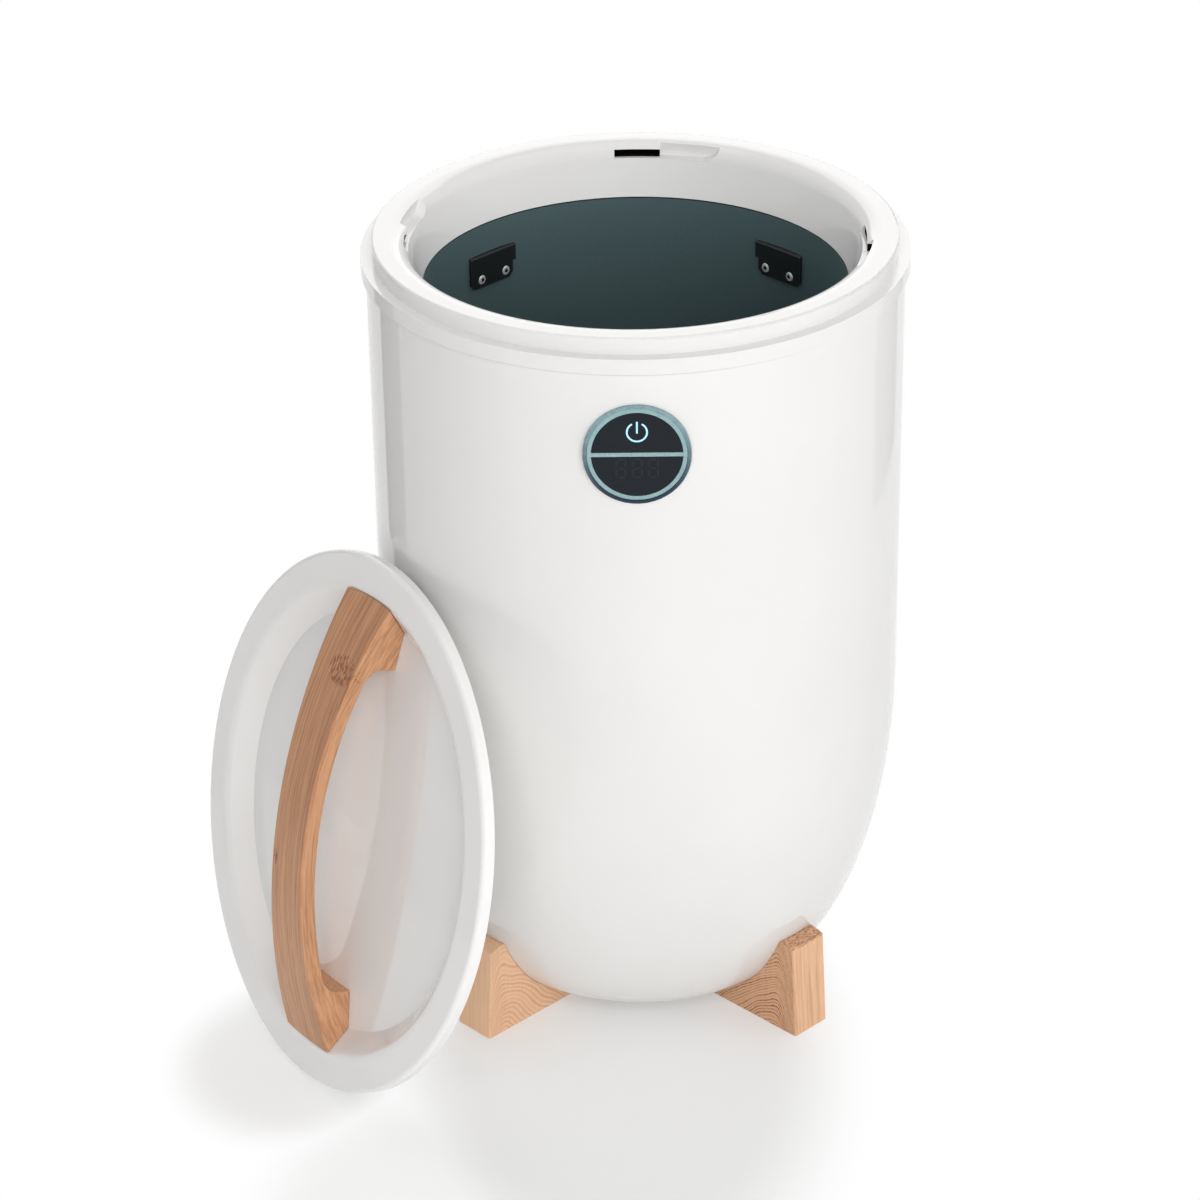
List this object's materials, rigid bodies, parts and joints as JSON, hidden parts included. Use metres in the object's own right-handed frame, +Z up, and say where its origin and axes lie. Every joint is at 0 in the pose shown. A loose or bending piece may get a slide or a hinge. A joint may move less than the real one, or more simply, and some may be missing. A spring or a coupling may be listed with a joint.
{
  "type": "towel warmer",
  "caption": "Bucket towel warmer with a dished lift-off lid, wooden arched handle, round key panel and wooden block feet.",
  "frame": {"origin": "On the floor, under the axis of the round body.", "axes": "+Z up along the body's axis, -Y to the front with the panel, +X to the right seen from the front."},
  "size_m": [0.4299, 0.4136, 0.488],
  "materials": {
    "shell_white": "gloss",
    "collar_white": "gloss",
    "lid_white": "gloss",
    "liner_coating": "satin",
    "seal_dark": "matte",
    "stand_plastic": "matte",
    "heater_foil": "satin",
    "heater_plate": "brushed",
    "jacket_felt": "matte",
    "thermostat_ceramic": "matte",
    "sensor_metal": "satin",
    "board_green": "satin",
    "module_dark": "matte",
    "housing_dark": "matte",
    "bezel_chrome": "polished",
    "ring_teal": "satin",
    "panel_black": "gloss",
    "relay_blue": "satin",
    "terminal_pale": "satin",
    "base_plastic": "satin",
    "screw_steel": "satin",
    "gland_plastic": "satin",
    "foot_wood": "satin",
    "handle_bamboo": "satin",
    "clip_plastic": "satin",
    "lid_pan": "satin",
    "gasket_silicone": "matte",
    "lid_foam": "matte"
  },
  "bodies": {
    "housing": {"outer_shell": "shell_white", "collar": "collar_white", "liner": "liner_coating", "liner_seal": "seal_dark", "liner_stand": "stand_plastic", "heating_band": "heater_foil", "base_heater": "heater_plate", "insulation_jacket": "jacket_felt", "thermostat": "thermostat_ceramic", "thermal_fuse": "sensor_metal", "temperature_sensor": "sensor_metal", "control_board": "board_green", "display_module": "module_dark", "tact_switch": "module_dark", "panel_housing": "housing_dark", "panel_bezel": "bezel_chrome", "panel_ring": "ring_teal", "display_lens": "panel_black", "power_board": "board_green", "power_relay": "relay_blue", "terminal_block": "terminal_pale", "base_cover": "base_plastic", "base_cover_screws": "screw_steel", "cord_gland": "gland_plastic", "gland_nut": "gland_plastic", "foot_front_left": "foot_wood", "foot_front_right": "foot_wood", "foot_rear_left": "foot_wood", "foot_rear_right": "foot_wood", "foot_screws": "screw_steel", "liner_clip_left": "clip_plastic", "liner_clip_right": "clip_plastic", "liner_clip_screws": "screw_steel"},
    "power_button": {"power_button": "panel_black"},
    "lid": {"lid_top": "lid_white", "lid_inner": "lid_pan", "lid_gasket": "gasket_silicone", "lid_insulation": "lid_foam", "lid_handle": "handle_bamboo", "handle_screws": "screw_steel", "lid_inner_screws": "screw_steel"}
  },
  "joints": [
    {"name": "power_button_press", "type": "slide", "parent": "housing", "child": "power_button", "axis": [0, 1, 0], "range_m": [0, 0.0012], "stiffness_N_per_m": 600, "springref_m": -0.001},
    {"name": "lid_lift_away", "type": "slide", "parent": "housing", "child": "lid", "axis": [-0.8243, -0.5034, 0.2592], "range_m": [0, 0.25]}
  ]
}
